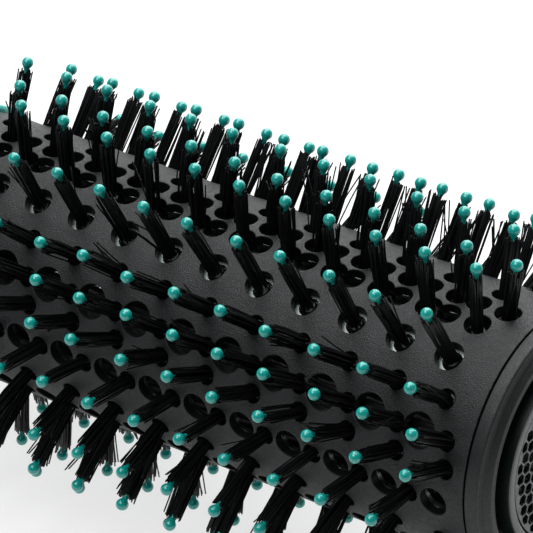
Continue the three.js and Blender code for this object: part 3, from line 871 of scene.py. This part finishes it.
def tip_mesh():
    front = span_x("tip_mesh")[1]
    radius = outer_radius("tip_mesh")

    def place(u, v, depth):
        return Vector((front - depth, u, v))

    loops = [(circle(0, 0, radius - MESH_EDGE, 120), circle(0, 0, radius, 120))]
    row_height = MESH_PITCH * math.sqrt(3) / 2
    rows = int(MESH_BORDER / row_height) + 1
    for row in range(-rows, rows + 1):
        for column in range(-rows - 2, rows + 3):
            u = row * row_height
            v = (column + 0.5 * (row % 2)) * MESH_PITCH
            if math.hypot(u, v) < MESH_BORDER - 0.2:
                rim = mesh_hole(u, v, MESH_HOLE_WIDTH + 2 * MESH_EDGE, MESH_BORDER)
                wall = mesh_hole(u, v, MESH_HOLE_WIDTH, MESH_BORDER - MESH_EDGE)
                loops.append((rim, wall))
    return perforated(loops, 1.6, MESH_THICKNESS, MESH_EDGE, place, edge_steps=2)


make_piece("tip_mesh_sheet", tip_mesh(), MESH_STEEL, stands_for=["tip_mesh"], slot="mesh_steel")

ring_back, ring_front = span_x("collar_ring")
RING_RADIUS = outer_radius("collar_ring")
RING_BORE = 20.6
ring_outline = [(ring_back, RING_BORE, 0.1), (ring_back, RING_RADIUS, 0.9)]
ring_outline += [(ring_front, RING_RADIUS, 0.9), (ring_front, RING_BORE, 0.1)]
ring = turned(ring_outline, TURNED_SEGMENTS)
make_piece("collar_ring_moulding", ring, TEAL, stands_for=["collar_ring"], slot="teal")

socket_back, socket_front = span_x("barrel_socket")
SPIGOT_RADIUS = RING_BORE - GAP
SOCKET_BORE = 16.6
socket_outline = [
    (socket_back, SOCKET_BORE, 0.1),
    (socket_back, 21, 0.5),
    (ring_back - GAP, 23, 0.6),
    (ring_back - GAP, SPIGOT_RADIUS, 0.1),
    (socket_front, SPIGOT_RADIUS, 0.2),
    (socket_front, SOCKET_BORE, 0.2),
]
socket = turned(socket_outline, TURNED_SEGMENTS)
make_piece("barrel_socket_moulding", socket, CAP, stands_for=["barrel_socket"], slot="shell")

# ---- Handle ----

HANDLE_OUTLINE = [(-216, 22.6), (-206, 24), (-180, 23.4), (-130, 21.4), (-80, 20), (-44, 19.2), (-22.3, 20.6)]
HANDLE_TURNS = (1, 5)  # the outline's widest and narrowest points, where it runs level
HANDLE_WALL = 2.4
HANDLE_EDGE = 0.35
HANDLE_SPACING = 2.6
PATTERN_RADIUS = 21  # a handle shell's flat pattern is as wide as on a cylinder of this radius
DECK = (-126, -74, 5.6)  # the flat for the controls: its ends along the handle, and half its width
DECK_HEIGHT = 18.7
DECK_CORNER = 2.5
DECK_RIM = 0.6  # how far the sloping edge of the flat spreads
DECK_SLOPE = 3.0
BUTTON_X = -118
BUTTON_RADIUS = 4.2
WINDOW = (-98.4, -85.6, 2.6)
SCREW_PLACES = (-72, -197)
BOSS_FOOT = -8
BOSS_RADIUS = 3.4
BOSS_BORE = 1.6
TOWER_RADIUS = 4.6
HEAD_SEAT = -13
HEAD_BORE = 2.9


def handle_slope(number):
    if number in HANDLE_TURNS:
        return 0.0
    before = HANDLE_OUTLINE[max(number - 1, 0)]
    after = HANDLE_OUTLINE[min(number + 1, len(HANDLE_OUTLINE) - 1)]
    return (after[1] - before[1]) / (after[0] - before[0])


def handle_radius(x):
    """The handle's outer radius: a smooth curve through its outline."""
    last = len(HANDLE_OUTLINE) - 1
    number = next((index for index in range(1, last) if x <= HANDLE_OUTLINE[index][0]), last)
    (x0, r0), (x1, r1) = HANDLE_OUTLINE[number - 1], HANDLE_OUTLINE[number]
    t = (x - x0) / (x1 - x0)
    start, end = handle_slope(number - 1) * (x1 - x0), handle_slope(number) * (x1 - x0)
    blend = t * t * (3 - 2 * t)
    return r0 + (r1 - r0) * blend + start * t * (1 - t) ** 2 - end * t * t * (1 - t)


def deck_ceiling(x, y):
    """How high the handle's top may reach above a point: the flat for the controls, with sloping edges."""
    back, front, half_width = DECK
    over_x = max(back + DECK_CORNER - x, x - front + DECK_CORNER, 0)
    over_y = max(abs(y) - half_width + DECK_CORNER, 0)
    outside = max(math.hypot(over_x, over_y) - DECK_CORNER, 0)
    return DECK_HEIGHT + DECK_SLOPE * outside


def handle_top_place(u, v, depth):
    polar = math.pi / 2 + v / PATTERN_RADIUS
    spot = at(u, polar, handle_radius(u))
    ceiling = deck_ceiling(spot.x, spot.y)
    if spot.z > ceiling:
        return Vector((spot.x, spot.y, ceiling - depth))
    return at(u, polar, handle_radius(u) - depth)


def handle_bottom_place(u, v, depth):
    return at(u, -math.pi / 2 + v / PATTERN_RADIUS, handle_radius(u) - depth)


def rounded_rectangle(low_x, high_x, half_y, radius, steps=6):
    corners = [(low_x, -half_y), (high_x, -half_y), (high_x, half_y), (low_x, half_y)]
    return fillet([(x, y, radius) for x, y in corners], steps)


def subdivided(loop, spacing):
    """A loop with points added wherever two of its points are further apart than the spacing."""
    filled = []
    for index, point in enumerate(loop):
        after = loop[(index + 1) % len(loop)]
        steps = max(1, math.ceil((after - point).length / spacing))
        filled += [point.lerp(after, step / steps) for step in range(steps)]
    return filled


def on_top(loop):
    """A loop of places seen from above, as a loop in the top shell's flat pattern."""
    return [Vector((p.x, PATTERN_RADIUS * math.asin(p.y / handle_radius(p.x)))) for p in loop]


def ring_about_z(x, profile, segments=40):
    """A closed profile of (height, radius) points turned about an upright line through the brush's axis."""
    points = []
    for height, radius in profile:
        points += [Vector((p.x, p.y, height)) for p in circle(x, 0, radius, segments)]
    return points, turned_faces(len(profile), segments, True)


def handle_outline_loop():
    back, front = HANDLE_OUTLINE[0][0], HANDLE_OUTLINE[-1][0]
    half_arc = (math.pi / 2 - GAP / 2 / PATTERN_RADIUS) * PATTERN_RADIUS
    return inset_rectangle(back, front, half_arc, HANDLE_EDGE, HANDLE_EDGE)


def handle_top():
    back, front, half_width = DECK
    low, high, half = WINDOW
    edge = 0.25

    def openings(grow):
        """The slider's window and the button's hole, let out by grow."""
        window = rounded_rectangle(low - grow, high + grow, half + grow, 0.8 + grow)
        return on_top(window), on_top(circle(BUTTON_X, 0, BUTTON_RADIUS + GAP + grow, 40))

    creases = []
    for grow in (0, DECK_RIM):
        rim = rounded_rectangle(back - grow, front + grow, half_width + grow, DECK_CORNER + grow)
        creases.append(on_top(subdivided(rim, 2)))
    loops = [handle_outline_loop(), *zip(openings(edge), openings(0))]
    shape = perforated(loops, HANDLE_SPACING, HANDLE_WALL, edge, handle_top_place, creases=creases)
    for x in SCREW_PLACES:
        top = handle_radius(x) - HANDLE_WALL / 2
        boss = [(BOSS_FOOT, BOSS_RADIUS), (top, BOSS_RADIUS), (top, BOSS_BORE), (BOSS_FOOT, BOSS_BORE)]
        shape.add(*ring_about_z(x, boss))
    shape.corners = []
    return shape


def handle_bottom():
    loops = [handle_outline_loop()]
    loops += [round_opening(x, 0, HEAD_BORE, HANDLE_EDGE) for x in SCREW_PLACES]
    shape = perforated(loops, HANDLE_SPACING, HANDLE_WALL, HANDLE_EDGE, handle_bottom_place)
    for x in SCREW_PLACES:
        foot, top = HANDLE_WALL / 2 - handle_radius(x), BOSS_FOOT - GAP
        tower = [(foot, TOWER_RADIUS), (top, TOWER_RADIUS), (top, BOSS_BORE)]
        tower += [(HEAD_SEAT, BOSS_BORE), (HEAD_SEAT, HEAD_BORE), (foot, HEAD_BORE)]
        shape.add(*ring_about_z(x, tower))
    shape.corners = []
    return shape


def rounded_box(shape, low, high, rounding, steps=3):
    """Adds a box with rounded edges."""
    low, high = Vector(low), Vector(high)
    work = bmesh.new()
    bmesh.ops.create_cube(work, size=1.0)
    for vertex in work.verts:
        vertex.co = (low + high) / 2 + vertex.co * (high - low)
    options = {"segments": steps, "profile": 0.5, "affect": "EDGES", "clamp_overlap": True}
    bmesh.ops.bevel(work, geom=list(work.edges), offset=rounding, **options)
    work.verts.index_update()
    points = [vertex.co.copy() for vertex in work.verts]
    shape.add(points, [tuple(vertex.index for vertex in face.verts) for face in work.faces])
    work.free()


def slider_knob():
    """The mode slider: a plate on the deck with grip ridges, and a stem down through the window."""
    back, front = span_x("mode_slider")
    height = DECK_HEIGHT + GAP
    plate_top = height + 1.4
    shape = Shape()
    rounded_box(shape, (back, -4.6, height), (front, 4.6, plate_top), 0.5)
    for ridge in range(4):
        left = back + 5 + ridge * 3
        rounded_box(shape, (left, -4, plate_top - 0.4), (left + 1.2, 4, plate_top + 1.2), 0.45)
    middle = back + 8
    rounded_box(shape, (middle - 2, -2.2, 14.2), (middle + 2, 2.2, height + 0.5), 0.3)
    return shape


def button_cap():
    """The cool-shot button: a round cap with a shallow dish for the finger."""
    points = brush_points("cool_button")
    foot, top = min(p.z for p in points), max(p.z for p in points)
    profile = [(foot, 0), (foot, BUTTON_RADIUS - 0.2), (foot + 0.2, BUTTON_RADIUS)]
    rounding = 0.7
    for step in range(7):
        turn = math.pi / 2 * step / 6
        reach = BUTTON_RADIUS - rounding + rounding * math.cos(turn)
        profile.append((top - rounding + rounding * math.sin(turn), reach))
    for share in (0.85, 0.65, 0.45, 0.25):
        profile.append((top - 0.35 * (1 - share), (BUTTON_RADIUS - rounding) * share))
    profile.append((top - 0.36, 0))
    return Shape().add(*spun(profile, 64, Matrix.Translation(Vector((BUTTON_X, 0, 0)))))


CONTROL_PIECES = [
    ("handle_top_moulding", handle_top(), CAP, "brush_body", "handle_shell_top", "shell", 30),
    ("handle_bottom_moulding", handle_bottom(), CAP, "brush_body", "handle_shell_bottom", "shell", 30),
    ("mode_slider_knob", slider_knob(), TEAL, "slider", "mode_slider", "teal", 35),
    ("cool_button_cap", button_cap(), GLOSS, "button", "cool_button", "gloss_trim", 35),
]
for name, shape, material, body, node, slot, sharp in CONTROL_PIECES:
    make_piece(name, shape, material, body=body, stands_for=[node], slot=slot, sharp=sharp)

# ---- Air inlet and cord swivel ----

GRILLE_BACK, GRILLE_FRONT = span_x("inlet_grille")
GRILLE_WALL = 2.0
GRILLE_HOLE = 8.6
GRILLE_SLOTS = 12
GRILLE_PATTERN_RADIUS = 18
GRILLE_EDGE = 0.3
SLOT_HALF_WIDTH = 0.9


def grille_profile():
    """Points along the grille's outside, from its centre hole to its rim, and each one's arc length."""
    corners = [
        (GRILLE_BACK, GRILLE_HOLE, 0),
        (GRILLE_BACK, 13, 2.0),
        (GRILLE_BACK + 3, 19, 3.0),
        (GRILLE_FRONT, 22.2, 0),
    ]
    path = fillet(corners, steps=8)
    lengths = [0.0]
    for before, after in zip(path, path[1:]):
        lengths.append(lengths[-1] + (after - before).length)
    return path, lengths


GRILLE_PATH, GRILLE_LENGTHS = grille_profile()


def grille_spot(length):
    """The point of the grille's profile at an arc length, and the normal there."""
    last = len(GRILLE_LENGTHS) - 1
    number = next((index for index in range(1, last) if length <= GRILLE_LENGTHS[index]), last)
    before, after = GRILLE_PATH[number - 1], GRILLE_PATH[number]
    share = (length - GRILLE_LENGTHS[number - 1]) / (GRILLE_LENGTHS[number] - GRILLE_LENGTHS[number - 1])
    along = (after - before).normalized()
    return before + (after - before) * share, Vector((-along.y, along.x))


def grille_place(u, v, depth):
    spot, normal = grille_spot(u)
    spot = spot - normal * depth
    return at(spot.x, math.radians(15) + v / GRILLE_PATTERN_RADIUS, spot.y)


def grille():
    length = GRILLE_LENGTHS[-1]
    half_turn = math.pi * GRILLE_PATTERN_RADIUS
    loops = [inset_rectangle(0, length, half_turn - 0.01, GRILLE_EDGE)]
    start, end = 4.2, length - 3

    def slot(grow, turn):
        half = SLOT_HALF_WIDTH + grow
        loop = subdivided(rounded_rectangle(start - grow, end + grow, half, half * 0.98), 1.2)
        return [Vector((p.x, (p.y / grille_spot(p.x)[0].y + turn) * GRILLE_PATTERN_RADIUS)) for p in loop]

    for index in range(GRILLE_SLOTS):
        turn = 2 * math.pi * (index + 0.5) / GRILLE_SLOTS - math.pi
        loops.append((slot(GRILLE_EDGE, turn), slot(0, turn)))
    return perforated(loops, 1.7, GRILLE_WALL, GRILLE_EDGE, grille_place)


make_piece("inlet_grille_moulding", grille(), CAP, stands_for=["inlet_grille"], slot="shell")

swivel_back = span_x("cord_swivel")[0]
CABLE_BORE = 3.4
collar_back = GRILLE_BACK + GRILLE_WALL + 1
SWIVEL_RADIUS = GRILLE_HOLE - 0.4  # where it turns in the grille's hole
SWIVEL_COLLAR = 10.6
swivel_outline = [
    (swivel_back, CABLE_BORE, 0.5),
    (swivel_back, 5, 0.8),
    (GRILLE_BACK - 2, 7.4, 1.0),
    (GRILLE_BACK - 0.6, SWIVEL_RADIUS, 0.4),
    (collar_back, SWIVEL_RADIUS, 0.1),
    (collar_back, SWIVEL_COLLAR, 0.3),
    (collar_back + 2, SWIVEL_COLLAR, 0.3),
    (collar_back + 2, CABLE_BORE, 0.5),
]
gland = turned(swivel_outline, segments=96)
make_piece("cord_swivel_gland", gland, GLOSS, body="swivel", stands_for=["cord_swivel"], slot="gloss_trim")

# ---- Finishes of the CAD pieces that stay ----

STEEL_PIECES = ["thermal_cutout", "handle_screw_front", "handle_screw_rear"]
STEEL_PIECES += ["cool_tact_switch", "fan_motor", "motor_shaft"]
KEPT = [
    # the mica parts carry the darkened colour, a painted shade
    (MICA_WITH_PAINTED_SHADE, ["heater_mica_frame", "heater_mica_sleeve"]),
    (WIRE, ["heater_coil"]),
    (STEEL, STEEL_PIECES),
    (GLOSS, ["mode_switch_body"]),
    (BOARD, ["control_board"]),
    (WHITE_NYLON, ["motor_mount_vanes", "fan_impeller"]),
    (MESH_STEEL, ["inlet_filter"]),
]

for finish, nodes in KEPT:
    for node in nodes:
        data = frame["nodes"][node].data
        data.materials.clear()
        data.materials.append(finish)

# ---- Floor, light and camera ----

FLOOR_SIZE = 12
FLOOR_GLOW = 0.72  # the floor is a light table, so that shadows on it stay pale
floor_mesh = bpy.data.meshes.new("floor")
corners = [(x * FLOOR_SIZE / 2, y * FLOOR_SIZE / 2, 0) for x, y in ((-1, -1), (1, -1), (1, 1), (-1, 1))]
floor_mesh.from_pydata(corners, [], [(0, 1, 2, 3)])
floor = linked_object("floor", floor_mesh)
floor_white, _, _, surface = new_material("floor_white")
set_inputs(surface, {"Base Color": (0.3, 0.3, 0.3, 1), "Roughness": 0.9, "Specular IOR Level": 0.2})
set_inputs(surface, {"Emission Color": (1, 1, 1, 1), "Emission Strength": FLOOR_GLOW})
floor_mesh.materials.append(floor_white)


HEAD_AIM = TO_FRAME @ Vector((60, 0, 0))


def softbox(name, place, width, height, power):
    """A lamp that points at the middle of the brush's head."""
    light = bpy.data.lights.new(name, "AREA")
    light.shape = "RECTANGLE"
    light.size = width
    light.size_y = height
    light.energy = power
    lamp = linked_object(name, light)
    lamp.location = place
    lamp.rotation_euler = (HEAD_AIM - Vector(place)).to_track_quat("-Z", "Y").to_euler()


softbox("softbox_back", (-0.15, 0.5, 0.95), 1.1, 1.0, 17)
softbox("softbox_front", (-0.1, -0.35, 1.0), 0.8, 0.6, 7)
softbox("softbox_rim", (-0.1, 0.95, 0.4), 1.3, 0.45, 8)

world = bpy.data.worlds.new("studio")
bpy.context.scene.world = world
world.use_nodes = True
set_inputs(world.node_tree.nodes["Background"], {"Color": (1, 1, 1, 1), "Strength": 0.07})

CAMERA_PLACE = Vector((400.2, -380.8, 393.8))
CAMERA_BACK = Vector((0.527, -0.604, 0.598))
CAMERA_ROLL_RIGHT = Vector((0.8023, 0.5856, -0.1157))
CAMERA_LENS = 254.7

back = CAMERA_BACK.normalized()
right = (CAMERA_ROLL_RIGHT - back * CAMERA_ROLL_RIGHT.dot(back)).normalized()
up = back.cross(right)
turn = Matrix((right, up, back)).transposed().to_4x4()
camera_data = bpy.data.cameras.new("camera")
camera_data.lens = CAMERA_LENS
camera_data.clip_start = 0.01
camera_data.clip_end = 50
camera = linked_object("camera", camera_data)
rotation = TO_FRAME.to_3x3().normalized().to_4x4() @ turn
camera.matrix_world = Matrix.Translation(TO_FRAME @ CAMERA_PLACE) @ rotation
bpy.context.scene.camera = camera

bpy.context.scene.view_settings.view_transform = "Standard"
